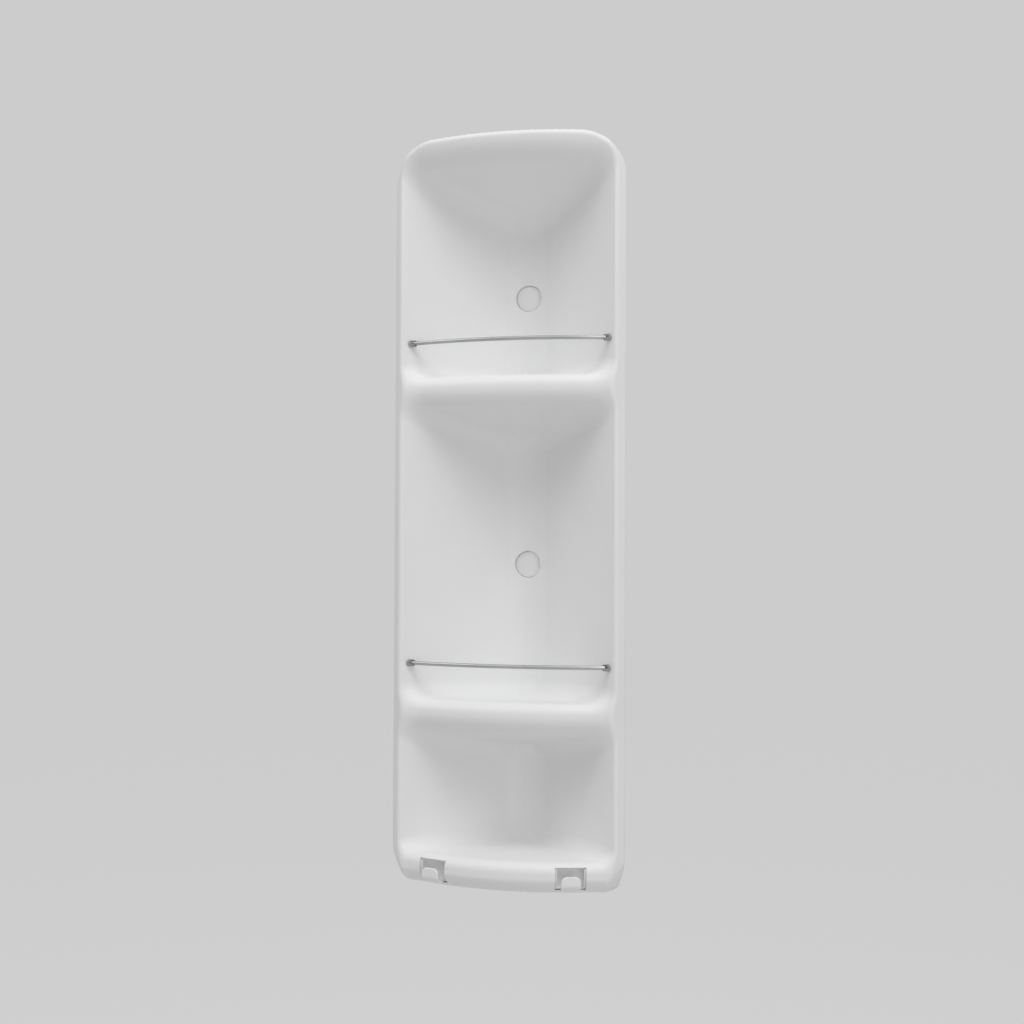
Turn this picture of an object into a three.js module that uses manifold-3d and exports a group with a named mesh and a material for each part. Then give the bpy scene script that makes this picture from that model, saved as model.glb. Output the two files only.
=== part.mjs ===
// Corner shower shelf: one formed white skin that fills a room corner, with a hood, two shelves and
// a foot, two bowed steel rails in snap clips, two clip-in hooks, and screw fixings behind snap caps.
// Millimetres, +Z up. The origin is on the line where the two room walls meet, level with the foot.
// -Y points out of the corner into the room, and the object is symmetric about X = 0.
import * as THREE from "three";
import { mergeVertices } from "three/addons/utils/BufferGeometryUtils.js";
import Module from "manifold-3d";

const wasm = await Module();
wasm.setup();

// Formed body
const LEG = 145; // reach along each room wall
const HEIGHT = 643;
const SKIN = 3; // thickness of the formed sheet
const PANEL_OFF = 10.5; // front face of a back panel, off the room wall
const SPINE_WIDTH = 25; // flat strip that bridges the two panels
const RIM_RADIUS = 3.2; // rounding of a panel's front edge
const TOP_CORNER = 37; // corner radii of the outline seen from the front
const FOOT_CORNER = 16;

// Hood, shelves and foot: each front edge is an arc in plan with a rounded nose
const END_REACH = 132; // hood and foot, from the room corner to the middle of the nose
const END_BOW = 215; // radius of that nose in plan
const SHELF_REACH = 120.5;
const SHELF_BOW = 330;
const LOWER_SHELF = 158; // top of the lower shelf's nose
const SHELF_PITCH = 279.5; // from the lower shelf to the upper one
const SHELF_NOSE = 26; // height of a shelf's nose
const HOOD_NOSE = 20;
const FOOT_NOSE = 27;
const SHELF_ROUND = { top: 10, foot: 14 }; // rounding of a nose above and below
const HOOD_ROUND = { top: 5, foot: 17 };
const FOOT_ROUND = { top: 9, foot: 16 };
const FLOOR_RISE = -0.02; // slope of a floor, slightly down towards the room corner
const SHELF_DROP = 0.235; // slope of a shelf's underside, down towards the room corner
const HOOD_DROP = 0.33;

// Rails and their clips
const RAIL_DIAMETER = 3.5;
const RAIL_REACH = 116; // from the room corner to the middle of a rail
const RAIL_BOW = 310; // radius of a rail in plan
const RAIL_ABOVE = 30.5; // rail axis above the top of the nose
const CLIP_DIAMETER = 5.8;
const CLIP_LENGTH = 4;
const CLIP_BASE = { diameter: 6.2, thickness: 1.2 };
const CLIP_STEM = { diameter: 4.2, hole: 4.8, tip: 5.6, tipLength: 1.8 };
const CLIP_SLOT = 4.2; // mouth that the rail leaves through

// Hooks in the foot's nose
const HOOK_X = 60.5;
const HOOK_WIDTH = 26;
const HOOK_FOOT = 4; // bottom of the hook's window
const HOOK_TOP = 23.5; // top of the hook's window
const HOOK_DEPTH = 12;
const HOOK_WALL = 1.2;
const HOOK_INSET = 2; // pocket's front edge, behind the nose
const BARB = { reach: 1, thickness: 1.7, inset: 4 };
const TONGUE = { width: 16.4, top: 17, thickness: 2.2, reach: 3.6, corner: 5, bend: 6, hollow: 2.6 };

// Screw fixing in the spine
const FIXING_HEIGHTS = { upper: 518, lower: 274 };
const RECESS = { diameter: 24, depth: 4.5 }; // holds the cap, below the spine's face
const WELL = { diameter: 16, depth: 11.7 }; // holds the screw's head, behind the cap
const CAP = { sink: 2, skirt: 2.2, wall: 1.2, dome: 0.5 };
const SCREW = { diameter: 4.8, hole: 5.6, head: 9.5, headHeight: 3.2, crown: 6.8, length: 52, tip: 5 };
const CROSS = { length: 5.7, width: 1.4, depth: 1.8 };
const WASHER = { diameter: 14, thickness: 1.2 };
const PLUG = { diameter: 8, bore: 5.4, length: 40, slit: 1.2, slitLength: 26 };

// Foam seals along the inside of the rims, flush with the room walls
const SEAL = { width: 5, thickness: 5, bottom: 33, top: 593 };

// Fits and mesh fineness
const GAP = 0.3; // clearance between pieces that touch
const BEHIND = 6; // how far cutters run past a face
const LATHE_STEPS = 80;
const NOSE_STEPS = 4;
const ROUND_STEPS = 24;
const RAIL_STEPS = 18;
const RAIL_SIDES = 6; // per half turn

const HALF = Math.SQRT1_2;
const SPINE_Y = -(Math.SQRT2 * PANEL_OFF + SPINE_WIDTH / 2);
const SHELF_TOPS = { upper: LOWER_SHELF + SHELF_PITCH, lower: LOWER_SHELF };
const SIDES = { left: -1, right: 1 };

const white = new THREE.MeshStandardMaterial({ color: 0xf6f6f5, roughness: 0.35, metalness: 0 });
const steel = new THREE.MeshStandardMaterial({ color: 0xb4b6b8, roughness: 0.25, metalness: 1 });
const grey = new THREE.MeshStandardMaterial({ color: 0xa6a8aa, roughness: 0.45, metalness: 0 });
const nylon = new THREE.MeshStandardMaterial({ color: 0xb9bbbd, roughness: 0.55, metalness: 0 });
const foam = new THREE.MeshStandardMaterial({ color: 0x55585a, roughness: 0.95, metalness: 0 });

// A closed geometry as a solid that can be joined and cut
function solidOf(geometry) {
  const bare = geometry.clone();
  bare.deleteAttribute("normal");
  bare.deleteAttribute("uv");
  const merged = mergeVertices(bare, 1e-4);
  const mesh = new wasm.Mesh({
    numProp: 3,
    vertProperties: merged.attributes.position.array,
    triVerts: new Uint32Array(merged.index.array),
  });
  return new wasm.Manifold(mesh);
}

function geometryOf(solid) {
  const { numProp, vertProperties, triVerts } = solid.getMesh();
  const positions = new Float32Array((vertProperties.length / numProp) * 3);
  for (let i = 0; i < positions.length / 3; i++) {
    positions.set(vertProperties.subarray(i * numProp, i * numProp + 3), i * 3);
  }
  const geometry = new THREE.BufferGeometry();
  geometry.setAttribute("position", new THREE.BufferAttribute(positions, 3));
  geometry.setIndex(new THREE.BufferAttribute(new Uint32Array(triVerts), 1));
  geometry.computeVertexNormals();
  return geometry;
}

// Basic solids
function box(low, high) {
  const size = high.map((value, axis) => value - low[axis]);
  const geometry = new THREE.BoxGeometry(...size);
  geometry.translate(...low.map((value, axis) => value + size[axis] / 2));
  return solidOf(geometry);
}

// A round bar along +Z, from one height to another
function bar(diameter, from, to) {
  const geometry = new THREE.CylinderGeometry(diameter / 2, diameter / 2, to - from, ROUND_STEPS);
  geometry.rotateX(Math.PI / 2);
  geometry.translate(0, 0, (from + to) / 2);
  return solidOf(geometry);
}

// A round piece about +Z: [radius, height] points from the axis, round the outside, back to the axis
function turned(profile) {
  const points = profile.map(([radius, height]) => new THREE.Vector2(radius, height));
  return new THREE.LatheGeometry(points, ROUND_STEPS).rotateX(Math.PI / 2);
}

function moved(solid, matrix) {
  return solidOf(geometryOf(solid).applyMatrix4(matrix));
}

// A point in plan: along one room wall from the corner, then off that wall
function planPoint(side, along, off) {
  return new THREE.Vector2(side * (along - off) * HALF, -(along + off) * HALF);
}

// Plan outline of the two panels, the spine and the rounded rims. Inset moves every face inwards,
// and an inset outline also runs past the room walls, so that it can hollow the body out.
function panelOutline(inset) {
  const wall = inset > 0 ? -BEHIND : 0;
  const panel = PANEL_OFF - inset;
  const spine = -(SPINE_Y + inset) * Math.SQRT2 - panel;
  const rim = Array.from({ length: NOSE_STEPS + 1 }, (_, i) => {
    const angle = (Math.PI / 2) * (i / NOSE_STEPS);
    const radius = RIM_RADIUS - inset;
    const along = LEG - RIM_RADIUS + radius * Math.cos(angle);
    return [along, PANEL_OFF - RIM_RADIUS + radius * Math.sin(angle)];
  });
  const half = [[LEG - inset, wall], ...rim, [spine, panel]];
  const left = half.map(([along, off]) => planPoint(-1, along, off));
  const right = half.map(([along, off]) => planPoint(1, along, off)).reverse();
  return [planPoint(1, wall, wall), ...left, ...right];
}

// Section of a hood, shelf or foot as [radius from the bow's axis, height]. The nose's arcs keep their
// centres under an inset, so an inset section is an even offset of the full one.
function noseSection({ bow, top, height, round, rise, drop, inset, inner }) {
  const topCentre = top + round.top * (rise - Math.hypot(1, rise));
  const footCentre = top - height - round.foot * (drop - Math.hypot(1, drop));
  const arc = (full, centre, from, to) =>
    Array.from({ length: NOSE_STEPS + 1 }, (_, i) => {
      const angle = from + ((to - from) * i) / NOSE_STEPS;
      const radius = full - inset;
      return [bow - full + radius * Math.cos(angle), centre + radius * Math.sin(angle)];
    });
  const lower = arc(round.foot, footCentre, -Math.atan2(1, drop), 0);
  const upper = arc(round.top, topCentre, 0, Math.atan2(1, rise));
  const [r0, z0] = lower[0];
  const [r1, z1] = upper[NOSE_STEPS];
  const innerFoot = [inner, z0 - drop * (r0 - inner)];
  const innerTop = [inner, z1 + rise * (r1 - inner)];
  return [innerFoot, ...lower, ...upper, innerTop, innerFoot];
}

// The section turned about the bow's vertical axis
function bowed(reach, section) {
  const axis = section.bow - reach;
  const inner = axis - 3 * BEHIND;
  const points = noseSection({ ...section, inner }).map(([r, z]) => new THREE.Vector2(r, z));
  const ring = new THREE.LatheGeometry(points, LATHE_STEPS);
  ring.rotateX(Math.PI / 2);
  ring.translate(0, axis, 0);
  return solidOf(ring);
}

// Rounded outline seen from the front, as a block that runs through the whole depth
function frontBlock(inset) {
  const side = (LEG - inset) * HALF;
  const top = HEIGHT - inset;
  const high = TOP_CORNER - inset;
  const low = FOOT_CORNER - inset;
  const shape = new THREE.Shape();
  shape.moveTo(-side + low, inset);
  shape.lineTo(side - low, inset);
  shape.absarc(side - low, inset + low, low, -Math.PI / 2, 0, false);
  shape.absarc(side - high, top - high, high, 0, Math.PI / 2, false);
  shape.absarc(-side + high, top - high, high, Math.PI / 2, Math.PI, false);
  shape.absarc(-side + low, inset + low, low, Math.PI, 1.5 * Math.PI, false);
  const block = new THREE.ExtrudeGeometry(shape, {
    depth: 2 * LEG,
    bevelEnabled: false,
    curveSegments: NOSE_STEPS,
  });
  block.rotateX(Math.PI / 2);
  block.translate(0, LEG / 2, 0);
  return solidOf(block);
}

// A profile in Y and Z as a solid that runs from -half to half along X
function crosswise(profile, half) {
  const geometry = new THREE.ExtrudeGeometry(profile, {
    depth: 2 * half,
    bevelEnabled: false,
    curveSegments: NOSE_STEPS,
  });
  const turn = new THREE.Matrix4().makeBasis(
    new THREE.Vector3(0, 1, 0),
    new THREE.Vector3(0, 0, 1),
    new THREE.Vector3(1, 0, 0),
  );
  return solidOf(geometry.applyMatrix4(turn.setPosition(-half, 0, 0)));
}

function prism(points, low, high) {
  const geometry = new THREE.ExtrudeGeometry(new THREE.Shape(points), {
    depth: high - low,
    bevelEnabled: false,
  });
  geometry.translate(0, 0, low);
  return solidOf(geometry);
}

const HOOD = {
  bow: END_BOW,
  top: HEIGHT,
  height: HOOD_NOSE,
  round: HOOD_ROUND,
  rise: 0,
  drop: HOOD_DROP,
};
const FOOT = {
  bow: END_BOW,
  top: FOOT_NOSE,
  height: FOOT_NOSE,
  round: FOOT_ROUND,
  rise: FLOOR_RISE,
  drop: 0,
};
const SHELF = {
  bow: SHELF_BOW,
  height: SHELF_NOSE,
  round: SHELF_ROUND,
  rise: FLOOR_RISE,
  drop: SHELF_DROP,
};

// The body as if it were solid from its front faces to the room walls
function filledBody(inset) {
  let body = prism(panelOutline(inset), 0, HEIGHT);
  body = body.add(bowed(END_REACH, { ...HOOD, inset })).add(bowed(END_REACH, { ...FOOT, inset }));
  for (const top of Object.values(SHELF_TOPS)) {
    body = body.add(bowed(SHELF_REACH, { ...SHELF, top, inset }));
  }
  const wall = inset > 0 ? -BEHIND : 0;
  const end = LEG - inset;
  const corner = [
    planPoint(1, wall, wall),
    planPoint(-1, end, wall),
    planPoint(1, end, end),
    planPoint(1, end, wall),
  ];
  return body.intersect(frontBlock(inset)).intersect(prism(corner, 0, HEIGHT));
}

// Places that several pieces share
const railAxisY = RAIL_BOW - RAIL_REACH;

// Angle along the rail's arc where its axis is a given distance off a room wall
function railAngle(off) {
  return Math.PI / 4 - Math.asin((off + railAxisY * HALF) / RAIL_BOW);
}

function railPoint(angle, height) {
  const x = RAIL_BOW * Math.sin(angle);
  const y = railAxisY - RAIL_BOW * Math.cos(angle);
  return new THREE.Vector3(x, y, height);
}

// Where a clip sits on its panel. Its +Z points off the panel into the room and its +Y points up.
function clipFrame(side, shelf) {
  const normal = new THREE.Vector3(-side * HALF, -HALF, 0);
  const up = new THREE.Vector3(0, 0, 1);
  const across = new THREE.Vector3().crossVectors(up, normal);
  const height = SHELF_TOPS[shelf] + RAIL_ABOVE;
  const foot = railPoint(side * railAngle(PANEL_OFF), height);
  return new THREE.Matrix4().makeBasis(across, up, normal).setPosition(foot);
}

// Where a hook sits in the foot's nose. Its -Y points out of the nose.
function hookFrame(side) {
  const angle = side * Math.asin(HOOK_X / END_BOW);
  const frame = new THREE.Matrix4().makeRotationZ(angle);
  const axis = END_BOW - END_REACH;
  return frame.setPosition(END_BOW * Math.sin(angle), axis - END_BOW * Math.cos(angle), 0);
}

// Where a fixing sits on the spine's front face. Its +Z points into the room.
function fixingFrame(level) {
  const frame = new THREE.Matrix4().makeRotationX(Math.PI / 2);
  return frame.setPosition(0, SPINE_Y, FIXING_HEIGHTS[level]);
}

function bodyShell() {
  let skin = filledBody(0).subtract(filledBody(SKIN));
  const screwHole = bar(SCREW.hole, -WELL.depth - 2 * SKIN, BEHIND);
  for (const level of Object.keys(FIXING_HEIGHTS)) {
    const frame = fixingFrame(level);
    for (const { diameter, depth } of [RECESS, WELL]) {
      skin = skin.add(moved(bar(diameter + 2 * SKIN, -depth - SKIN, -SKIN / 2), frame));
    }
    for (const { diameter, depth } of [RECESS, WELL]) {
      skin = skin.subtract(moved(bar(diameter, -depth, BEHIND), frame));
    }
    skin = skin.subtract(moved(screwHole, frame));
  }
  const clipHole = bar(CLIP_STEM.hole, -BEHIND, BEHIND);
  const window = box([-HOOK_WIDTH / 2, -BEHIND, HOOK_FOOT], [HOOK_WIDTH / 2, HOOK_DEPTH, HOOK_TOP]);
  for (const side of Object.values(SIDES)) {
    skin = skin.subtract(moved(window, hookFrame(side)));
    for (const shelf of Object.keys(SHELF_TOPS)) {
      skin = skin.subtract(moved(clipHole, clipFrame(side, shelf)));
    }
  }
  return geometryOf(skin);
}

// A bowed wire whose ends stop just short of the two clips' bases
class RailCurve extends THREE.Curve {
  constructor(height, reach) {
    super();
    this.height = height;
    this.reach = reach;
  }

  getPoint(t, target = new THREE.Vector3()) {
    return target.copy(railPoint((2 * t - 1) * this.reach, this.height));
  }
}

const RAIL_END = railAngle(PANEL_OFF + CLIP_BASE.thickness + 5 * GAP);

function rail(shelf) {
  const section = new THREE.Shape();
  section.absarc(0, 0, RAIL_DIAMETER / 2, 0, 2 * Math.PI, false);
  const path = new RailCurve(SHELF_TOPS[shelf] + RAIL_ABOVE, RAIL_END);
  return new THREE.ExtrudeGeometry(section, {
    steps: RAIL_STEPS,
    curveSegments: RAIL_SIDES,
    extrudePath: path,
  });
}

// A snap clip: a barbed stem through the panel, a round base, and a cradle open upwards and forwards
function railClip(side) {
  const base = bar(CLIP_BASE.diameter, GAP, CLIP_BASE.thickness + GAP);
  const tipStart = -SKIN - GAP;
  const stem = turned([
    [0, tipStart - CLIP_STEM.tipLength],
    [CLIP_STEM.diameter / 2, tipStart - CLIP_STEM.tipLength],
    [CLIP_STEM.tip / 2, tipStart - GAP],
    [CLIP_STEM.tip / 2, tipStart],
    [CLIP_STEM.diameter / 2, tipStart],
    [CLIP_STEM.diameter / 2, 2 * GAP],
    [0, 2 * GAP],
  ]);
  const lean = Math.PI / 4 - RAIL_END;
  const along = new THREE.Vector3(-side * Math.sin(lean), 0, Math.cos(lean));
  const out = new THREE.Vector3(side / 2, HALF, 1 / 2);
  const across = new THREE.Vector3().crossVectors(out, along).normalize();
  const mouth = new THREE.Vector3().crossVectors(along, across);
  const cradleFrame = new THREE.Matrix4().makeBasis(across, mouth, along);
  const cradle = bar(CLIP_DIAMETER, -BEHIND, CLIP_BASE.thickness + CLIP_LENGTH);
  const bore = bar(CLIP_SLOT, -BEHIND, 3 * CLIP_LENGTH);
  const slot = box([-CLIP_SLOT / 2, 0, -BEHIND], [CLIP_SLOT / 2, CLIP_DIAMETER, 3 * CLIP_LENGTH]);
  const above = box([-LEG, -LEG, CLIP_BASE.thickness], [LEG, LEG, LEG]);
  const clip = moved(cradle.subtract(bore.add(slot)), cradleFrame).intersect(above);
  return geometryOf(base.add(clip).add(solidOf(stem)));
}

// A hook: an open pocket that clips into the nose's window and follows the nose, and a tongue that
// rises in front of it
function hook() {
  const side = HOOK_WIDTH / 2 - GAP;
  const foot = HOOK_FOOT + GAP;
  const top = HOOK_TOP - GAP;
  const section = noseSection({ ...FOOT, inset: HOOK_INSET, inner: END_BOW - 2 * FOOT_NOSE });
  const nose = section.slice(1).map(([radius, height]) => new THREE.Vector2(END_BOW - radius, height));
  const block = box([-side, -BEHIND, foot], [side, HOOK_DEPTH, top]);
  const pocket = crosswise(new THREE.Shape(nose), side).intersect(block);
  const inside = box(
    [-side + HOOK_WALL, -BEHIND, foot + HOOK_WALL],
    [side - HOOK_WALL, HOOK_DEPTH - HOOK_WALL, top - HOOK_WALL],
  );
  const root = HOOK_DEPTH - HOOK_WALL;
  const floor = foot + HOOK_WALL;
  const outer = -TONGUE.reach;
  const inner = outer + TONGUE.thickness;
  const profile = new THREE.Shape();
  profile.moveTo(root, foot);
  profile.lineTo(root, floor);
  profile.lineTo(inner + TONGUE.hollow, floor);
  profile.quadraticCurveTo(inner, floor, inner, floor + TONGUE.hollow);
  profile.lineTo(inner, TONGUE.top);
  profile.lineTo(outer, TONGUE.top);
  profile.lineTo(outer, foot + TONGUE.bend);
  profile.quadraticCurveTo(outer, foot, outer + TONGUE.bend, foot);
  profile.closePath();
  const blade = crosswise(profile, TONGUE.width / 2);
  const { corner } = TONGUE;
  const wide = TONGUE.width / 2;
  const round = new THREE.Shape();
  round.moveTo(-wide, 0);
  round.lineTo(wide, 0);
  round.absarc(wide - corner, TONGUE.top - corner, corner, 0, Math.PI / 2, false);
  round.absarc(corner - wide, TONGUE.top - corner, corner, Math.PI / 2, Math.PI, false);
  const face = new THREE.ExtrudeGeometry(round, {
    depth: 4 * HOOK_DEPTH,
    bevelEnabled: false,
    curveSegments: NOSE_STEPS,
  });
  face.rotateX(Math.PI / 2);
  face.translate(0, 2 * HOOK_DEPTH, 0);
  const tongue = blade.intersect(solidOf(face));
  const behindSkin = 2 * SKIN + GAP;
  const barb = box(
    [-side - BARB.reach, behindSkin, foot + BARB.inset],
    [side + BARB.reach, behindSkin + BARB.thickness, top - BARB.inset],
  );
  const hollow = box([-side + GAP, -BEHIND, -BEHIND], [side - GAP, 2 * HOOK_DEPTH, HOOK_TOP + BEHIND]);
  const barbs = barb.subtract(hollow);
  return geometryOf(pocket.subtract(inside).add(tongue).add(barbs));
}

// A domed cap, sunk into the spine's recess, whose skirt snaps into the well behind it. Its axis is
// +Z, out of the spine.
function cap() {
  const edge = RECESS.diameter / 2 - GAP;
  const skirt = WELL.diameter / 2 - GAP;
  const back = -RECESS.depth + GAP;
  const face = -CAP.sink;
  return turned([
    [0, back],
    [skirt - CAP.wall, back],
    [skirt - CAP.wall, back - CAP.skirt],
    [skirt, back - CAP.skirt],
    [skirt, back],
    [edge, back],
    [edge, face - 2 * CAP.dome],
    [edge - CAP.dome, face - CAP.dome],
    [edge / 2, face - CAP.dome / 4],
    [0, face],
  ]);
}

const SEAT = -WELL.depth + GAP;

function washer() {
  const inner = SCREW.hole / 2;
  const outer = WASHER.diameter / 2;
  const top = SEAT + WASHER.thickness;
  return turned([
    [inner, SEAT],
    [outer, SEAT],
    [outer, top],
    [inner, top],
    [inner, SEAT],
  ]);
}

function screw() {
  const seat = SEAT + WASHER.thickness + GAP;
  const end = seat - SCREW.length;
  const shank = SCREW.diameter / 2;
  const head = SCREW.head / 2;
  const body = turned([
    [0, end],
    [shank, end + SCREW.tip],
    [shank, seat],
    [head, seat],
    [head, seat + SCREW.headHeight / 2],
    [SCREW.crown / 2, seat + SCREW.headHeight],
    [0, seat + SCREW.headHeight],
  ]);
  const long = CROSS.length / 2;
  const narrow = CROSS.width / 2;
  const low = seat + SCREW.headHeight - CROSS.depth;
  const high = seat + SCREW.headHeight + BEHIND;
  const upright = box([-narrow, -long, low], [narrow, long, high]);
  const level = box([-long, -narrow, low], [long, narrow, high]);
  return geometryOf(solidOf(body).subtract(upright.add(level)));
}

// A split wall plug that starts where the two room walls meet
function wallPlug() {
  const start = SPINE_Y;
  const end = start - PLUG.length;
  const tube = bar(PLUG.diameter, end, start).subtract(bar(PLUG.bore, end - BEHIND, start + BEHIND));
  const narrow = PLUG.slit / 2;
  const wide = PLUG.diameter;
  const slit = box([-wide, -narrow, end - BEHIND], [wide, narrow, end + PLUG.slitLength]);
  return geometryOf(tube.subtract(slit));
}

// A foam strip in the hollow of a rim, flush with the room wall
function rimSeal(side) {
  const outer = LEG - SKIN - GAP;
  const inner = outer - SEAL.width;
  const corners = [
    planPoint(side, inner, 0),
    planPoint(side, outer, 0),
    planPoint(side, outer, SEAL.thickness),
    planPoint(side, inner, SEAL.thickness),
  ];
  return geometryOf(prism(corners, SEAL.bottom, SEAL.top));
}

const shelf = new THREE.Group();

function add(name, geometry, material, frame = new THREE.Matrix4()) {
  const mesh = new THREE.Mesh(geometry, material);
  mesh.name = name;
  mesh.applyMatrix4(frame);
  shelf.add(mesh);
}

add("body_shell", bodyShell(), white);
for (const [sideName, side] of Object.entries(SIDES)) {
  add(`hook_${sideName}`, hook(), white, hookFrame(side));
  add(`rim_seal_${sideName}`, rimSeal(side), foam);
}
for (const level of Object.keys(SHELF_TOPS)) {
  add(`${level}_rail`, rail(level), steel);
  for (const [sideName, side] of Object.entries(SIDES)) {
    add(`${level}_rail_clip_${sideName}`, railClip(side), grey, clipFrame(side, level));
  }
}
for (const level of Object.keys(FIXING_HEIGHTS)) {
  const frame = fixingFrame(level);
  add(`${level}_cap`, cap(), white, frame);
  add(`${level}_washer`, washer(), nylon, frame);
  add(`${level}_screw`, screw(), steel, frame);
  add(`${level}_wall_plug`, wallPlug(), nylon, frame);
}

export default shelf;
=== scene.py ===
"""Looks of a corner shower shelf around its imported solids. Millimetres here, metres in Blender."""
import math

import bmesh
import bpy
import numpy as np
from mathutils import Matrix, Vector


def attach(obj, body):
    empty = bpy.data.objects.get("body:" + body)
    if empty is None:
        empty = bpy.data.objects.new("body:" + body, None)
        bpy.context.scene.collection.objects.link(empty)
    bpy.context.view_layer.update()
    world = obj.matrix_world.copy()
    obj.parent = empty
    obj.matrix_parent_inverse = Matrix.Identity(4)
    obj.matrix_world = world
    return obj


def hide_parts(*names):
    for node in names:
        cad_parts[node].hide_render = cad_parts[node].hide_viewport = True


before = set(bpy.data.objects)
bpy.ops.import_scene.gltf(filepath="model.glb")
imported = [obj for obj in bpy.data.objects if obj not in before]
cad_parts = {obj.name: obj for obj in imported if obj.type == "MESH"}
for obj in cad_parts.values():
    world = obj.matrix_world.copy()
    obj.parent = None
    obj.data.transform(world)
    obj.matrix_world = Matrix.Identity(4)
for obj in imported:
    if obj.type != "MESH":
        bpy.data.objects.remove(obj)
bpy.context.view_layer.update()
scene = bpy.context.scene

MM = 0.001
ROOT_HALF = math.sqrt(0.5)

# Camera fitted to the photograph
CAMERA_AT = (284.5, -1229.2, 292.3)
CAMERA_YAW = 14.0
CAMERA_PITCH = 1.37
CAMERA_ROLL = 0.25
FOCAL_PIXELS = 1350.0
IMAGE_PIXELS = 1024.0
SENSOR = 36.0
CAMERA_NEAR = 0.05
CAMERA_FAR = 100.0

# Body, with the values of the solids
LEG = 145.0
HEIGHT = 643.0
SKIN = 3.0
PANEL_OFF = 10.5
SPINE_WIDTH = 25.0
SPINE_OUT = math.sqrt(2) * PANEL_OFF + SPINE_WIDTH / 2
RIM_RADIUS = 3.2
TOP_CORNER = 37.0
FOOT_CORNER = 16.0
END_REACH = 132.0
END_BOW = 215.0
SHELF_REACH = 120.5
SHELF_BOW = 330.0
LOWER_SHELF = 158.0
UPPER_SHELF = 437.5
SHELF_NOSE = 26.0
HOOD_NOSE = 20.0
FOOT_NOSE = 27.0
SHELF_ROUND = (10.0, 14.0)  # upper edge, lower edge
HOOD_ROUND = (5.0, 17.0)
FOOT_ROUND = (9.0, 16.0)
FLOOR_RISE = -0.02
SHELF_DROP = 0.235
HOOD_DROP = 0.33

# Fillets that the solids leave out
SPINE_FILLET = 8.0
SHELF_FILLET = 15.0
HOOD_FILLET = 16.0
FOOT_FILLET = 12.0
SIDE_ROUND = 0.4

# Where the outline's edge goes from sharp to rounded, below the top and above the foot
TOP_BLEND = (42.0, 8.0)
FOOT_BLEND = (8.0, 29.0)

# Rails and clips
RAIL_DIAMETER = 3.5
RAIL_REACH = 116.0
RAIL_BOW = 310.0
RAIL_ABOVE = 30.5
RAIL_EDGE = 0.5
CLIP_DIAMETER = 5.8
CLIP_LENGTH = 4.0
CLIP_BASE = (6.2, 1.2)  # diameter, thickness
CLIP_STEM = (4.2, 5.6, 1.8)  # diameter, the tip's diameter and length
CLIP_HOLE = 4.8
CLIP_SLOT = 4.2
CLIP_ROOT = 1.0
CLIP_BASE_EDGE = 0.5
CLIP_TIP_EDGE = 0.2
CLIP_END_EDGE = 0.7
CLIP_MOUTH_EDGE = 0.45
CLIP_FILLET = 0.6

# Hooks
HOOK_X = 60.5
HOOK_WIDTH = 26.0
HOOK_FOOT = 4.0
HOOK_TOP = 23.5
HOOK_DEPTH = 12.0
HOOK_WALL = 1.2
HOOK_INSET = 2.0
TONGUE_WIDTH = 16.4
TONGUE_TOP = 17.0
TONGUE_THICK = 2.2
TONGUE_REACH = 3.6
TONGUE_CORNER = 5.0
TONGUE_BEND = 6.0
TONGUE_HOLLOW = 2.6
TONGUE_LIP = 0.6
TONGUE_ROOT_EDGE = 0.2
TONGUE_EDGE = 0.7
TONGUE_FILLET = 0.5
POCKET_CORNER = 0.5
POCKET_HOLLOW = 0.8
POCKET_EDGE = 0.3
BARB = (1.0, 1.7, 4.0)  # reach, thickness, inset from the pocket's ends
BARB_EDGE = 0.3
BARB_FILLET = 0.2

# Fixings
FIXINGS = {"upper": 518.0, "lower": 274.0}
RECESS_RADIUS = 12.0
RECESS_DEPTH = 4.5
RECESS_LIP = 0.9
RECESS_FILLET = 0.5
WELL_RADIUS = 8.0
WELL_DEPTH = 11.7
CAP_SINK = 2.0
CAP_SKIRT = 2.2
CAP_WALL = 1.2
CAP_DOME = 0.5
CAP_EDGE = 0.35
CAP_BACK = 1.0
CAP_SKIRT_EDGE = 0.4
CAP_RINGS = 8
SCREW_RADIUS = 2.4
SCREW_HOLE = 5.6
SCREW_HEAD = (4.75, 3.2)  # radius, height
SCREW_HEAD_EDGE = 0.4
SCREW_CROWN = 2.0
SCREW_NECK = (1.92, 1.0)  # radius, length
SCREW_LENGTH = 52.0
SCREW_CROSS = (5.7, 1.4, 1.8)  # length, width, depth
SCREW_TIP = 6.0
SCREW_TIP_SHARE = 0.04
THREAD_PITCH = 1.9
THREAD_CORE = 0.74
THREAD_WIDTH = 0.22
THREAD_STOP = 6.0
THREAD_SIDES = 20
THREAD_ROWS = 300
WASHER = (7.0, 1.2)  # radius, thickness
WASHER_EDGES = (0.3, 0.4, 0.2)  # under, over, at the hole
PLUG = (4.0, 2.7, 40.0)  # radius, bore's radius, length
PLUG_SLIT = (1.2, 26.0)  # width, length
PLUG_RIBS = 9
PLUG_RIB_START = 2.0
PLUG_RIB_PITCH = 3.0
PLUG_RIB_CREST = (2.3, 2.7)  # start, end
PLUG_NECK = (0.4, 1.0, 0.8)  # gap after the ribs, start and end of the collar's bevel
PLUG_SHARES = (0.8, 0.82, 0.92)  # radius of the nose, between ribs and of the neck
SEAL = (5.0, 5.0, 33.0, 593.0)  # width, thickness, foot, top
SEAL_BEVEL = 1.4
SEAL_ROUND = 1.0
SEAL_ROWS = 40

# Clearance between pieces, how far cutters run past a face, and the sides of round holes
GAP = 0.3
RAIL_SHORT = 5 * GAP
BEHIND = 6.0
OVERCUT = 1.0
HOLE_SIDES = 32

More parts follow.
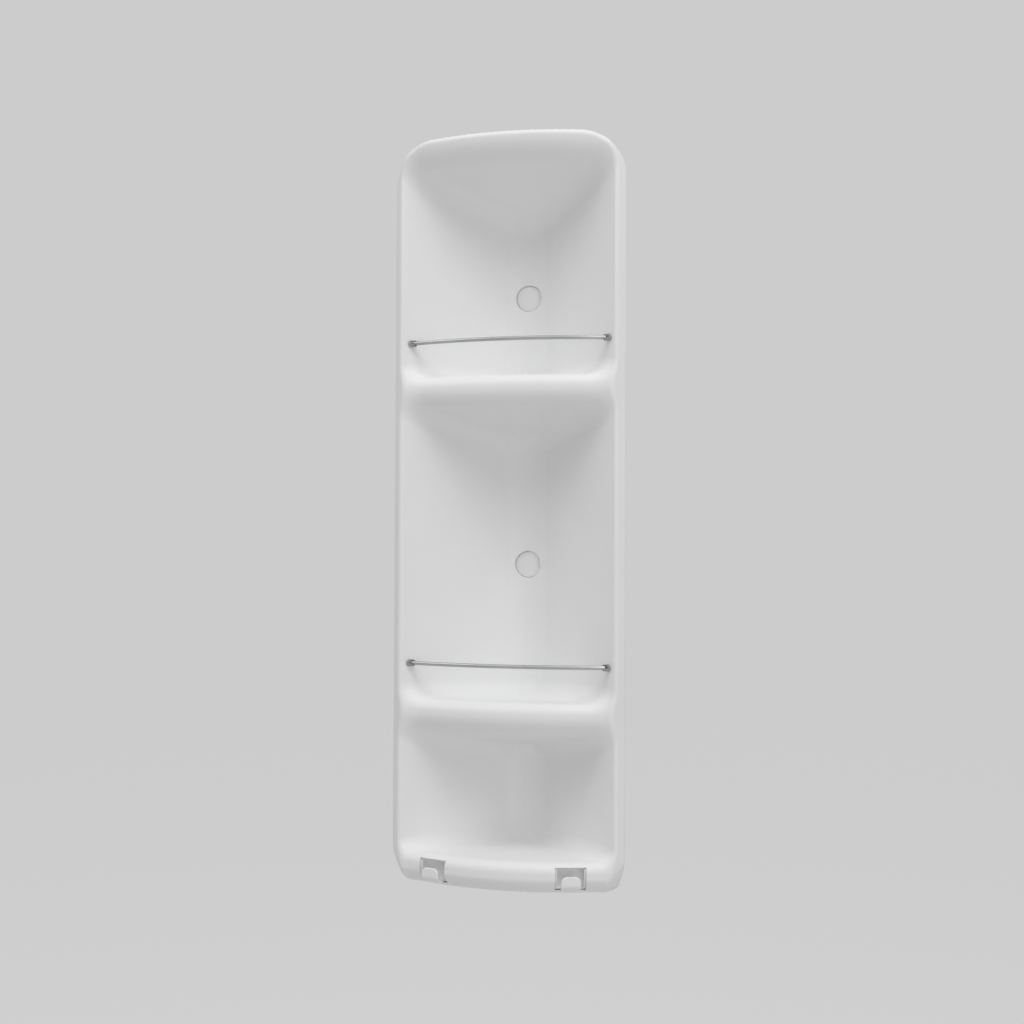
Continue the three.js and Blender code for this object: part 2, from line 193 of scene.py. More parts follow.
# Limits in the sums, and the angles in degrees above which an edge is sharp
FAR = 99.0
SAME = 1e-6
TINY = 1e-9
LEAST_SLOPE = 1e-3
CUT_CREASE = 35
MOULDED_CREASE = 40
TURNED_CREASE = 30

SHELVES = {"upper": UPPER_SHELF, "lower": LOWER_SHELF}
SIDES = {"left": -1, "right": 1}


# Camera
def make_camera():
    yaw, pitch, roll = (math.radians(a) for a in (CAMERA_YAW, CAMERA_PITCH, CAMERA_ROLL))
    level = Vector((math.cos(yaw), math.sin(yaw), 0))
    ahead = Vector((-math.sin(yaw), math.cos(yaw), 0))
    forward = math.cos(pitch) * ahead + Vector((0, 0, math.sin(pitch)))
    rise = level.cross(forward)
    right = math.cos(roll) * level + math.sin(roll) * rise
    up = math.cos(roll) * rise - math.sin(roll) * level
    data = bpy.data.cameras.new("photo_camera")
    data.sensor_width = SENSOR
    data.lens = SENSOR * FOCAL_PIXELS / IMAGE_PIXELS
    data.clip_start = CAMERA_NEAR
    data.clip_end = CAMERA_FAR
    camera = bpy.data.objects.new("photo_camera", data)
    scene.collection.objects.link(camera)
    turn = Matrix((right, up, -forward)).transposed().to_4x4()
    camera.matrix_world = Matrix.Translation(Vector(CAMERA_AT) * MM) @ turn
    scene.camera = camera


# Fields: negative inside. Two fields are joined with a fillet or cut with a rounded edge.
def joined(a, b, radius):
    bend = np.hypot(np.maximum(radius - a, 0), np.maximum(radius - b, 0))
    return np.maximum(radius, np.minimum(a, b)) - bend


def cut(a, b, radius):
    bend = np.hypot(np.maximum(radius + a, 0), np.maximum(radius + b, 0))
    return np.minimum(-radius, np.maximum(a, b)) + bend


def smooth(value, start, end):
    t = np.clip((value - start) / (end - start), 0, 1)
    return t * t * (3 - 2 * t)


def rounded_box(point, low, high, radius):
    parts = []
    for p, lo, hi in zip(point, low, high):
        parts.append(np.abs(p - (lo + hi) / 2) - (hi - lo) / 2 + radius)
    outside = np.sqrt(sum(np.maximum(q, 0) ** 2 for q in parts))
    inside = np.minimum(np.maximum.reduce(parts), 0)
    return outside + inside - radius


def grid_lines(*spans):
    """Grid lines from spans of (start, end, about how far apart)."""
    parts = []
    for low, high, step in spans:
        count = max(1, round((high - low) / step))
        parts.append(np.linspace(low, high, count, endpoint=False))
    return np.concatenate([*parts, [spans[-1][1]]])


def net(field, lines):
    """The surface where a field is zero, as points and quads, with one point in each crossed cell."""
    grid = np.meshgrid(*lines, indexing="ij")
    values = field(*grid)
    inside = values < 0
    shape = np.array(values.shape) - 1
    total = np.zeros((*shape, 3))
    count = np.zeros(shape)
    edges = []
    for axis in range(3):
        low = [slice(None)] * 3
        high = [slice(None)] * 3
        low[axis] = slice(None, -1)
        high[axis] = slice(1, None)
        low, high = tuple(low), tuple(high)
        crossed = inside[low] != inside[high]
        drop = np.where(crossed, values[low] - values[high], 1)
        share = np.where(crossed, values[low] / drop, 0)
        point = np.stack([g[low] + share * (g[high] - g[low]) for g in grid], -1) * crossed[..., None]
        first, second = (axis + 1) % 3, (axis + 2) % 3
        for i in (0, 1):
            for j in (0, 1):
                part = [slice(None)] * 3
                part[first] = slice(i, i + shape[first])
                part[second] = slice(j, j + shape[second])
                total += point[tuple(part)]
                count += crossed[tuple(part)]
        edges.append((crossed, inside[low], first, second))
    active = count > 0
    index = np.full(shape, -1)
    index[active] = np.arange(active.sum())
    points = total[active] / count[active][:, None]
    quads = []
    for crossed, solid, first, second in edges:
        where = np.argwhere(crossed)
        kept = (where[:, first] > 0) & (where[:, second] > 0)
        kept &= (where[:, first] < shape[first]) & (where[:, second] < shape[second])
        where = where[kept]
        corners = []
        for i, j in ((1, 1), (0, 1), (0, 0), (1, 0)):
            cell = where.copy()
            cell[:, first] -= i
            cell[:, second] -= j
            corners.append(index[tuple(cell.T)])
        quad = np.stack(corners, 1)
        flip = ~solid[tuple(where.T)]
        quad[flip] = quad[flip][:, ::-1]
        quads.append(quad)
    return points, np.concatenate(quads), np.argwhere(active)


def slope_of(field, points, step=0.04):
    slope = np.zeros_like(points)
    for axis in range(3):
        shift = np.zeros(3)
        shift[axis] = step
        ahead, behind = points + shift, points - shift
        slope[:, axis] = (field(*ahead.T) - field(*behind.T)) / (2 * step)
    return slope


def settled(field, points, level=0.0, pinned=None, rounds=8, most=1.0):
    """Points moved on to the surface where the field has a level. Pinned coordinates stay."""
    points = points.copy()
    for _ in range(rounds):
        slope = slope_of(field, points)
        if pinned is not None:
            slope[pinned] = 0
        size = np.maximum((slope ** 2).sum(1), LEAST_SLOPE)
        step = ((field(*points.T) - level) / size)[:, None] * slope
        length = np.linalg.norm(step, axis=1)
        points -= step * np.minimum(1, most / np.maximum(length, TINY))[:, None]
    return points


def mesh_of(name, points, faces):
    mesh = bpy.data.meshes.new(name)
    mesh.from_pydata([tuple(p) for p in points], [], [tuple(int(i) for i in f) for f in faces])
    mesh.validate()
    mesh.update()
    return mesh


def shade(mesh, angle):
    """Smooth faces, with sharp edges where they turn by more than an angle in degrees."""
    mesh.polygons.foreach_set("use_smooth", [True] * len(mesh.polygons))
    mesh.set_sharp_from_angle(angle=math.radians(angle))


def object_of(name, mesh):
    made = bpy.data.objects.new(name, mesh)
    scene.collection.objects.link(made)
    return made


def lofted(name, points, count):
    """A closed mesh from rings of a count of points each, with a face over both ends."""
    rings = len(points) // count
    faces = []
    for i in range(rings - 1):
        for j in range(count):
            k = (j + 1) % count
            faces.append((i * count + j, i * count + k, (i + 1) * count + k, (i + 1) * count + j))
    faces.append(tuple(range(count))[::-1])
    faces.append(tuple((rings - 1) * count + j for j in range(count)))
    mesh = mesh_of(name, np.array(points) * MM, faces)
    made = bmesh.new()
    made.from_mesh(mesh)
    bmesh.ops.recalc_face_normals(made, faces=made.faces)
    made.to_mesh(mesh)
    made.free()
    shade(mesh, MOULDED_CREASE)
    return mesh


# Body: coordinates are off the right wall, off the left wall, and up
def plan(off_right, off_left):
    return (off_left - off_right) * ROOT_HALF, -(off_left + off_right) * ROOT_HALF


def nose(x, y, z, reach, bow, rounds, top=None, foot=None, rise=0.0, drop=0.0):
    """A slab behind a bowed front with rounded edges. Its faces rise or drop towards the corner."""
    radius = np.hypot(x, y - (bow - reach))
    front = radius - bow
    parts = []
    if top is not None:
        above = (z - top - rise * (bow - radius)) / math.hypot(1, rise)
        parts.append(cut(above, front, rounds[0]))
    if foot is not None:
        below = (foot - drop * (bow - radius) - z) / math.hypot(1, drop)
        parts.append(cut(below, front, rounds[1]))
    return np.maximum.reduce(parts)


def outline(x, z):
    """The rounded rectangle seen from the front."""
    middle = HEIGHT / 2
    corner = np.where(z > middle, TOP_CORNER, FOOT_CORNER)
    across = np.abs(x) - LEG * ROOT_HALF + corner
    up = np.abs(z - middle) - middle + corner
    outside = np.hypot(np.maximum(across, 0), np.maximum(up, 0))
    return np.minimum(np.maximum(across, up), 0) + outside - corner


def body(off_right, off_left, z):
    """The outside of the moulding, as if it were solid."""
    x, y = plan(off_right, off_left)
    right = off_right - PANEL_OFF
    left = off_left - PANEL_OFF
    spine = -y - SPINE_OUT
    form = joined(joined(right, spine, SPINE_FILLET), left, SPINE_FILLET)
    for top in SHELVES.values():
        shelf = nose(x, y, z, SHELF_REACH, SHELF_BOW, SHELF_ROUND, top=top, foot=top - SHELF_NOSE,
                     rise=FLOOR_RISE, drop=SHELF_DROP)
        form = joined(form, shelf, SHELF_FILLET)
    hood = nose(x, y, z, END_REACH, END_BOW, HOOD_ROUND, foot=HEIGHT - HOOD_NOSE, drop=HOOD_DROP)
    form = joined(form, hood, HOOD_FILLET)
    foot = nose(x, y, z, END_REACH, END_BOW, FOOT_ROUND, top=FOOT_NOSE, rise=FLOOR_RISE)
    form = joined(form, foot, FOOT_FILLET)
    for height in FIXINGS.values():
        radial = np.hypot(x, z - height) - RECESS_RADIUS
        recess = cut(radial, y + SPINE_OUT - RECESS_DEPTH, RECESS_FILLET)
        form = cut(form, -recess, RECESS_LIP)
    ends = np.maximum(off_right, off_left) - LEG
    form = cut(form, ends, RIM_RADIUS)
    top_share = smooth(z, HEIGHT - TOP_BLEND[0], HEIGHT - TOP_BLEND[1])
    foot_share = 1 - smooth(z, *FOOT_BLEND)
    edge = SIDE_ROUND + (HOOD_ROUND[0] - SIDE_ROUND) * top_share
    edge = edge + (FOOT_ROUND[1] - SIDE_ROUND) * foot_share
    return cut(form, outline(x, z), edge)


# The body's grid: fine at the noses, fillets, recesses and rims, and coarse on the plain panels
OFF_LINES = grid_lines((-0.5, 0.5, 1), (0.5, 5.5, 2.5), (5.5, 29.5, 1), (29.5, 137, 4), (137, 147, 1))
HEIGHT_LINES = grid_lines((-1, 49, 2), (49, 93, 8), (93, 177, 2.1), (177, 257, 10), (257, 291, 1.1),
                          (291, 371, 10), (371, 457, 2.1), (457, 501, 9), (501, 535, 1.1), (535, 559, 8),
                          (559, 645, 2))
BODY_LINES = (OFF_LINES, OFF_LINES, HEIGHT_LINES)


def in_metres(points):
    x, y = plan(points[:, 0], points[:, 1])
    return np.stack([x, y, points[:, 2]], 1) * MM


def bar(radius, low, high, sides=48):
    """A closed round bar along +Z."""
    made = bmesh.new()
    bmesh.ops.create_cone(made, cap_ends=True, segments=sides, radius1=radius * MM, radius2=radius * MM,
                          depth=(high - low) * MM)
    bmesh.ops.translate(made, verts=made.verts, vec=(0, 0, (low + high) / 2 * MM))
    return made


def block(low, high):
    made = bmesh.new()
    bmesh.ops.create_cube(made, size=1)
    size = [(h - l) * MM for l, h in zip(low, high)]
    middle = [(h + l) / 2 * MM for l, h in zip(low, high)]
    bmesh.ops.scale(made, verts=made.verts, vec=size)
    bmesh.ops.translate(made, verts=made.verts, vec=middle)
    return made


def gathered(name, parts):
    """One object from pairs of a bmesh and its place."""
    mesh = bpy.data.meshes.new(name)
    whole = bmesh.new()
    for part, place in parts:
        part.transform(place)
        part.to_mesh(mesh)
        whole.from_mesh(mesh)
        part.free()
    whole.to_mesh(mesh)
    whole.free()
    return object_of(name, mesh)


def carved(target, tool, operation):
    """The target's mesh after a boolean with the tool, which is then removed."""
    step = target.modifiers.new("carve", "BOOLEAN")
    step.operation = operation
    step.solver = "MANIFOLD"
    step.object = tool
    graph = bpy.context.evaluated_depsgraph_get()
    result = bpy.data.meshes.new_from_object(target.evaluated_get(graph))
    target.modifiers.remove(step)
    old = target.data
    target.data = result
    bpy.data.meshes.remove(old)
    bpy.data.objects.remove(tool)


# Places that several pieces share
RAIL_AXIS = RAIL_BOW - RAIL_REACH


def rail_angle(off):
    return math.pi / 4 - math.asin((off + RAIL_AXIS * ROOT_HALF) / RAIL_BOW)


def rail_point(angle, height):
    return Vector((RAIL_BOW * math.sin(angle), RAIL_AXIS - RAIL_BOW * math.cos(angle), height))


RAIL_END = rail_angle(PANEL_OFF + CLIP_BASE[1] + RAIL_SHORT)


def place_of(across, up, out, at):
    turn = Matrix((across, up, out)).transposed().to_4x4()
    return Matrix.Translation(at) @ turn


def clip_place(side, level):
    out = Vector((-side * ROOT_HALF, -ROOT_HALF, 0))
    up = Vector((0, 0, 1))
    at = rail_point(side * rail_angle(PANEL_OFF), SHELVES[level] + RAIL_ABOVE) * MM
    return place_of(up.cross(out), up, out, at)


def hook_place(side):
    angle = side * math.asin(HOOK_X / END_BOW)
    at = Vector((END_BOW * math.sin(angle), END_BOW - END_REACH - END_BOW * math.cos(angle), 0)) * MM
    return Matrix.Translation(at) @ Matrix.Rotation(angle, 4, "Z")


def fixing_place(level):
    at = Vector((0, -SPINE_OUT, FIXINGS[level])) * MM
    return Matrix.Translation(at) @ Matrix.Rotation(math.pi / 2, 4, "X")


# Where the body takes its field's normals: near the skin, and where the face turns the same way
ON_SKIN = 0.2
LEAST_AGREEMENT = 0.75


def shade_body(mesh):
    """Smooth normals from the body's field, and plain ones on the cut faces."""
    count = len(mesh.loops)
    spots = np.zeros(len(mesh.vertices) * 3)
    mesh.vertices.foreach_get("co", spots)
    spots = spots.reshape(-1, 3) / MM
    walls = np.stack([-(spots[:, 0] + spots[:, 1]) * ROOT_HALF, (spots[:, 0] - spots[:, 1]) * ROOT_HALF,
                      spots[:, 2]], 1)
    depth = body(*walls.T)
    slope = slope_of(body, walls)
    slope /= np.maximum(np.linalg.norm(slope, axis=1), TINY)[:, None]
    x, y = plan(slope[:, 0], slope[:, 1])
    normal = np.stack([x, y, slope[:, 2]], 1)
    normal[depth < -SKIN / 2] *= -1
    on_skin = (np.abs(depth) < ON_SKIN) | (np.abs(depth + SKIN) < ON_SKIN)
    corner = np.zeros(count, int)
    mesh.loops.foreach_get("vertex_index", corner)
    face_normal = np.zeros(len(mesh.polygons) * 3)
    mesh.polygons.foreach_get("normal", face_normal)
    face_normal = face_normal.reshape(-1, 3)
    sizes = np.zeros(len(mesh.polygons), int)
    mesh.polygons.foreach_get("loop_total", sizes)
    flat = np.repeat(face_normal, sizes, axis=0)
    agree = (normal[corner] * flat).sum(1) > LEAST_AGREEMENT
    use = on_skin[corner] & agree
    mesh.set_sharp_from_angle(angle=math.radians(CUT_CREASE))
    plain = np.zeros(count * 3)
    mesh.corner_normals.foreach_get("vector", plain)
    final = np.where(use[:, None], normal[corner], plain.reshape(-1, 3))
    mesh.normals_split_custom_set([tuple(n) for n in final])


def make_body():
    """A skin that is open at the back, with cups and holes for what it carries."""
    points, quads, cells = net(body, BODY_LINES)
    pinned = np.zeros(points.shape, bool)
    pinned[:, 0] = cells[:, 0] == 0
    pinned[:, 1] = cells[:, 1] == 0
    points[pinned] = 0
    outer = settled(body, points, pinned=pinned)
    inward = slope_of(body, outer)
    inward[pinned] = 0
    inward /= np.maximum(np.linalg.norm(inward, axis=1), TINY)[:, None]
    inner = settled(body, outer - SKIN * inward, level=-SKIN, pinned=pinned)
    count = len(outer)
    starts = quads.ravel()
    ends = np.roll(quads, -1, axis=1).ravel()
    forward = set(zip(starts.tolist(), ends.tolist()))
    strip = [(j, i, i + count, j + count) for i, j in forward if (j, i) not in forward]
    faces = quads.tolist() + (quads[:, ::-1] + count).tolist() + sorted(strip)
    mesh = mesh_of("body_skin", in_metres(np.concatenate([outer, inner])), faces)
    skin = object_of("body_skin", mesh)
    cups, cutters = [], []
    for level in FIXINGS:
        place = fixing_place(level)
        cups.append((bar(WELL_RADIUS + SKIN, -WELL_DEPTH - SKIN, -RECESS_DEPTH - SKIN / 2), place))
        cutters.append((bar(WELL_RADIUS, -WELL_DEPTH, -RECESS_DEPTH + OVERCUT), place))
    carved(skin, gathered("cups", cups), "UNION")
    carved(skin, gathered("wells", cutters), "DIFFERENCE")
    holes = []
    for level in FIXINGS:
        hole = bar(SCREW_HOLE / 2, -WELL_DEPTH - 2 * SKIN, -RECESS_DEPTH, HOLE_SIDES)
        holes.append((hole, fixing_place(level)))
    for side in SIDES.values():
        window = block((-HOOK_WIDTH / 2, -BEHIND, HOOK_FOOT), (HOOK_WIDTH / 2, HOOK_DEPTH, HOOK_TOP))
        holes.append((window, hook_place(side)))
        for level in SHELVES:
            hole = bar(CLIP_HOLE / 2, -BEHIND, BEHIND, HOLE_SIDES)
            holes.append((hole, clip_place(side, level)))
    carved(skin, gathered("holes", holes), "DIFFERENCE")
    shade_body(skin.data)
    return skin


# Small moulded pieces from their own fields
def moulded(name, field, lines, place):
    points, quads, _ = net(field, lines)
    points = settled(field, points, most=0.2)
    mesh = mesh_of(name, points * MM, quads)
    mesh.transform(place)
    if place.to_3x3().determinant() < 0:
        mesh.flip_normals()
    shade(mesh, MOULDED_CREASE)
    return object_of(name, mesh)


def hook_form(x, y, z):
    """A pocket with side barbs, and a tongue that curls up in front of it."""
    side = HOOK_WIDTH / 2 - GAP
    foot = HOOK_FOOT + GAP
    top = HOOK_TOP - GAP
    point = (x, y, z)
    pocket = rounded_box(point, (-side, -BEHIND, foot), (side, HOOK_DEPTH, top), POCKET_CORNER)
    under = cut(-y, -z, FOOT_ROUND[1])
    over = cut(-y, z - FOOT_NOSE, FOOT_ROUND[0])
    pocket = cut(pocket, np.maximum(under, over) + HOOK_INSET, POCKET_EDGE)
    inside = rounded_box(point, (-side + HOOK_WALL, -2 * BEHIND, foot + HOOK_WALL),
                         (side - HOOK_WALL, HOOK_DEPTH - HOOK_WALL, top - HOOK_WALL), POCKET_HOLLOW)
    pocket = cut(pocket, -inside, POCKET_EDGE)
    reach, thick, inset = BARB
    start = 2 * SKIN + GAP
    barb = rounded_box((np.abs(x), y, z), (side - HOOK_WALL / 2, start, foot + inset),
                       (side + reach, start + thick, top - inset), BARB_EDGE)
    pocket = joined(pocket, barb, BARB_FILLET)
    outer = cut(-TONGUE_REACH - y, foot - z, TONGUE_BEND)
    hollow = cut(-TONGUE_REACH + TONGUE_THICK - y, foot + HOOK_WALL - z, TONGUE_HOLLOW)
    blade = cut(cut(outer, -hollow, TONGUE_LIP), y - HOOK_DEPTH + HOOK_WALL, TONGUE_ROOT_EDGE)
    across = np.abs(x) - TONGUE_WIDTH / 2 + TONGUE_CORNER
    up = z - TONGUE_TOP + TONGUE_CORNER
    face = np.minimum(np.maximum(across, up), 0) - TONGUE_CORNER
    face = face + np.hypot(np.maximum(across, 0), np.maximum(up, 0))
    return joined(pocket, cut(blade, face, TONGUE_EDGE), TONGUE_FILLET)


# Grids that hold a hook or a clip, in its own place
HOOK_LINES = (
    grid_lines((-14.6, 14.6, 0.52)),
    grid_lines((-4.6, 12.9, 0.47)),
    grid_lines((3.4, 24.1, 0.47)),
)


def clip_form(side):
    """A snap cradle on a round base, with a barbed stem that goes through the panel."""
    lean = math.pi / 4 - RAIL_END
    along = Vector((-side * math.sin(lean), 0, math.cos(lean)))
    out = Vector((side / 2, ROOT_HALF, 0.5))
    across = out.cross(along).normalized()
    mouth = along.cross(across)
    base_width, base_thick = CLIP_BASE
    stem_width, tip_width, tip_length = CLIP_STEM
    tip = -SKIN - GAP
    widening = (tip_width - stem_width) / (2 * tip_length)

    def form(x, y, z):
        disc = np.hypot(x, y)
        slab = np.abs(z - GAP - base_thick / 2) - base_thick / 2
        base = cut(disc - base_width / 2, slab, CLIP_BASE_EDGE)
        shank = np.maximum(disc - stem_width / 2, np.abs(z - tip / 2) + tip / 2 - CLIP_ROOT)
        taper = disc - tip_width / 2 - (z - tip) * widening
        barb = cut(taper, np.abs(z - tip + tip_length / 2) - tip_length / 2, CLIP_TIP_EDGE)
        stem = np.minimum(shank, barb)
        s = x * along.x + y * along.y + z * along.z
        p = x * across.x + y * across.y + z * across.z
        q = x * mouth.x + y * mouth.y + z * mouth.z
        tube = cut(np.hypot(p, q) - CLIP_DIAMETER / 2, s - base_thick - CLIP_LENGTH, CLIP_END_EDGE)
        bore = np.minimum(np.hypot(p, q), np.where(q > 0, np.abs(p), FAR)) - CLIP_SLOT / 2
        cradle = cut(tube, -bore, CLIP_MOUTH_EDGE)
        cradle = np.maximum(cradle, base_thick - z)
        return np.minimum(joined(base, cradle, CLIP_FILLET), stem)

    return form


CLIP_LINES = (
    grid_lines((-6.0, 6.0, 0.27)),
    grid_lines((-4.6, 4.6, 0.27)),
    grid_lines((-5.6, 7.4, 0.27)),
)


# Turned pieces: profiles run from the axis round the outside and back, as (radius, height)
def arc_points(centre, radius, start, end, steps=5):
    spots = []
    for i in range(steps + 1):
        angle = math.radians(start + (end - start) * i / steps)
        spots.append((centre[0] + radius * math.cos(angle), centre[1] + radius * math.sin(angle)))
    return spots


def turned(name, profile, place, sides=72):
    """A profile turned round +Z. Points that repeat the one before are left out."""
    kept = profile[:1]
    for spot in profile[1:]:
        if math.dist(spot, kept[-1]) > SAME:
            kept.append(spot)
    profile = kept
    points, faces, rings = [], [], []
    for radius, height in profile:
        if radius < SAME:
            rings.append([len(points)] * sides)
            points.append((0, 0, height))
            continue
        rings.append(list(range(len(points), len(points) + sides)))
        for i in range(sides):
            turn = 2 * math.pi * i / sides
            points.append((radius * math.cos(turn), radius * math.sin(turn), height))
    if math.dist(profile[0], profile[-1]) < SAME:
        rings[-1] = rings[0]
        points = points[:-sides]
    for low, high in zip(rings, rings[1:]):
        for i in range(sides):
            j = (i + 1) % sides
            face = []
            for spot in (low[i], low[j], high[j], high[i]):
                if spot not in face:
                    face.append(spot)
            if len(face) > 2:
                faces.append(face)
    mesh = mesh_of(name, np.array(points) * MM, faces)
    mesh.transform(place)
    shade(mesh, TURNED_CREASE)
    return object_of(name, mesh)


def make_cap(level):
    """A shallow dome with a rounded edge, sunk in the recess, on a skirt that snaps into the well."""
    skirt = WELL_RADIUS - GAP
    edge = RECESS_RADIUS - GAP
    back = -RECESS_DEPTH + GAP
    shoulder = -CAP_SINK - CAP_DOME
    inner = skirt - CAP_WALL
    low = back - CAP_SKIRT + CAP_SKIRT_EDGE
    profile = [(0, back), (inner, back)]
    profile += arc_points((inner + CAP_SKIRT_EDGE, low), CAP_SKIRT_EDGE, 180, 270, 3)
    profile += arc_points((skirt - CAP_SKIRT_EDGE, low), CAP_SKIRT_EDGE, 270, 360, 3)
    profile.append((skirt, back))
    profile += arc_points((edge - CAP_BACK, back + CAP_BACK), CAP_BACK, 270, 360, 4)
    profile += arc_points((edge - CAP_EDGE, shoulder - CAP_EDGE), CAP_EDGE, 0, 84, 6)
    for i in range(1, CAP_RINGS + 1):
        share = 1 - i / CAP_RINGS
        profile.append(((edge - CAP_EDGE) * share, shoulder + CAP_DOME * (1 - share * share)))
    return turned(f"{level}_cap_cover", profile, fixing_place(level), sides=96)


def make_washer(level):
    seat = -WELL_DEPTH + GAP
    inner, outer, top = SCREW_HOLE / 2, WASHER[0], seat + WASHER[1]
    low_edge, top_edge, bevel = WASHER_EDGES
    profile = [(inner, seat)]
    profile += arc_points((outer - low_edge, seat + low_edge), low_edge, 270, 360, 3)
    profile += arc_points((outer - top_edge, top - top_edge), top_edge, 0, 90, 3)
    profile += [(inner + bevel, top), (inner, top - bevel), (inner, seat)]
    return turned(f"{level}_washer_ring", profile, fixing_place(level))


def make_screw(level):
    """A pan head with a cross recess, and a wood thread that ends at the head's neck."""
    seat = -WELL_DEPTH + 2 * GAP + WASHER[1]
    head, height = SCREW_HEAD
    neck, neck_length = SCREW_NECK
    top = seat + height
    profile = [(0, seat - neck_length), (neck, seat - neck_length), (neck, seat)]
    profile += arc_points((head - SCREW_HEAD_EDGE, seat + SCREW_HEAD_EDGE), SCREW_HEAD_EDGE, 270, 360, 3)
    profile += arc_points((head - SCREW_CROWN, top - SCREW_CROWN), SCREW_CROWN, 0, 90, 6)
    profile.append((0, top))
    place = fixing_place(level)
    pan = turned(f"{level}_screw_head", profile, Matrix.Identity(4))
    long, narrow, depth = SCREW_CROSS[0] / 2, SCREW_CROSS[1] / 2, SCREW_CROSS[2]
    for half_x, half_y in ((long, narrow), (narrow, long)):
        arm = block((-half_x, -half_y, top - depth), (half_x, half_y, top + OVERCUT))
        carved(pan, gathered("cross_arm", [(arm, Matrix.Identity(4))]), "DIFFERENCE")
    pan.data.set_sharp_from_angle(angle=math.radians(TURNED_CREASE))
    pan.data.transform(place)
    end = seat - SCREW_LENGTH
    length = SCREW_LENGTH - neck_length
    points = []
    for i in range(THREAD_ROWS + 1):
        z = end + length * i / THREAD_ROWS
        taper = min(1, max(SCREW_TIP_SHARE, (z - end) / SCREW_TIP))
        for j in range(THREAD_SIDES):
            turn = 2 * math.pi * j / THREAD_SIDES
            phase = (z / THREAD_PITCH - j / THREAD_SIDES) % 1
            ridge = max(0, 1 - abs(phase - 0.5) / THREAD_WIDTH) if z < seat - THREAD_STOP else 0
            radius = SCREW_RADIUS * (THREAD_CORE + (1 - THREAD_CORE) * ridge) * taper
            points.append((radius * math.cos(turn), radius * math.sin(turn), z))
    mesh = lofted(f"{level}_screw_thread", points, THREAD_SIDES)
    mesh.transform(place)
    return pan, object_of(f"{level}_screw_thread", mesh)


def make_plug(level):
    """A split nylon plug with ribs, in the wall behind the corner."""
    radius, bore, length = PLUG
    start = -SPINE_OUT
    end = start - length
    nose_radius, root_radius, neck_radius = (share * radius for share in PLUG_SHARES)
    neck_gap, collar, collar_edge = PLUG_NECK
    profile = [(bore, end), (nose_radius, end)]
    z = end + PLUG_RIB_START
    crest, crest_end = PLUG_RIB_CREST
    for _ in range(PLUG_RIBS):
        profile += [(root_radius, z), (radius, z + crest), (radius, z + crest_end)]
        z += PLUG_RIB_PITCH
        profile.append((root_radius, z))
    profile += [(neck_radius, z + neck_gap), (neck_radius, start - collar)]
    profile += [(radius, start - collar_edge), (radius, start), (bore, start), (bore, end)]
    plug = turned(f"{level}_plug_sleeve", profile, Matrix.Identity(4), sides=48)
    half_slit, slit_length = PLUG_SLIT[0] / 2, PLUG_SLIT[1]
    slit = block((-2 * radius, -half_slit, end - OVERCUT), (2 * radius, half_slit, end + slit_length))
    carved(plug, gathered("slit", [(slit, Matrix.Identity(4))]), "DIFFERENCE")
    plug.data.set_sharp_from_angle(angle=math.radians(TURNED_CREASE))
    plug.data.transform(fixing_place(level))
    return plug


def make_rail(level):
    """A bowed wire with rounded ends."""
    sides, rows, end_rows = 24, 120, 5
    radius = RAIL_DIAMETER / 2
    height = SHELVES[level] + RAIL_ABOVE
    reach = RAIL_END * RAIL_BOW
    ends = []
    for i in range(end_rows):
        turn = math.pi / 2 * i / end_rows
        along = -reach + RAIL_EDGE * (1 - math.cos(turn))
        ends.append((along, radius - RAIL_EDGE * (1 - math.sin(turn))))
    straight = reach - RAIL_EDGE
    middle = [(-straight + 2 * straight * i / rows, radius) for i in range(rows + 1)]
    tail = [(-along, size) for along, size in reversed(ends)]
    up = Vector((0, 0, 1))
    points = []
    for along, size in ends + middle + tail:
        angle = along / RAIL_BOW
        centre = rail_point(angle, height)
        out = Vector((math.sin(angle), -math.cos(angle), 0))
        for j in range(sides):
            turn = 2 * math.pi * j / sides
            points.append(centre + size * (math.cos(turn) * out + math.sin(turn) * up))
    return object_of(f"{level}_rail_wire", lofted(f"{level}_rail_wire", points, sides))


def make_seal(name, side):
    """A foam strip with rounded free edges, flush with the room wall."""
    width, thick, low, high = SEAL
    outer = LEG - SKIN - GAP
    inner = outer - width
    corners = [(inner, 0), (outer - SEAL_BEVEL, 0), (outer, SEAL_BEVEL)]
    corners += arc_points((outer - SEAL_ROUND, thick - SEAL_ROUND), SEAL_ROUND, 0, 90, 4)
    corners += arc_points((inner + SEAL_ROUND, thick - SEAL_ROUND), SEAL_ROUND, 90, 180, 4)
    points = []
    for i in range(SEAL_ROWS + 1):
        z = low + (high - low) * i / SEAL_ROWS
        for along, off in corners:
            points.append((side * (along - off) * ROOT_HALF, -(along + off) * ROOT_HALF, z))
    return object_of(name, lofted(name, points, len(corners)))


# Materials: noise between these levels spans a material's range
NOISE_LOW = 0.3
NOISE_HIGH = 0.7


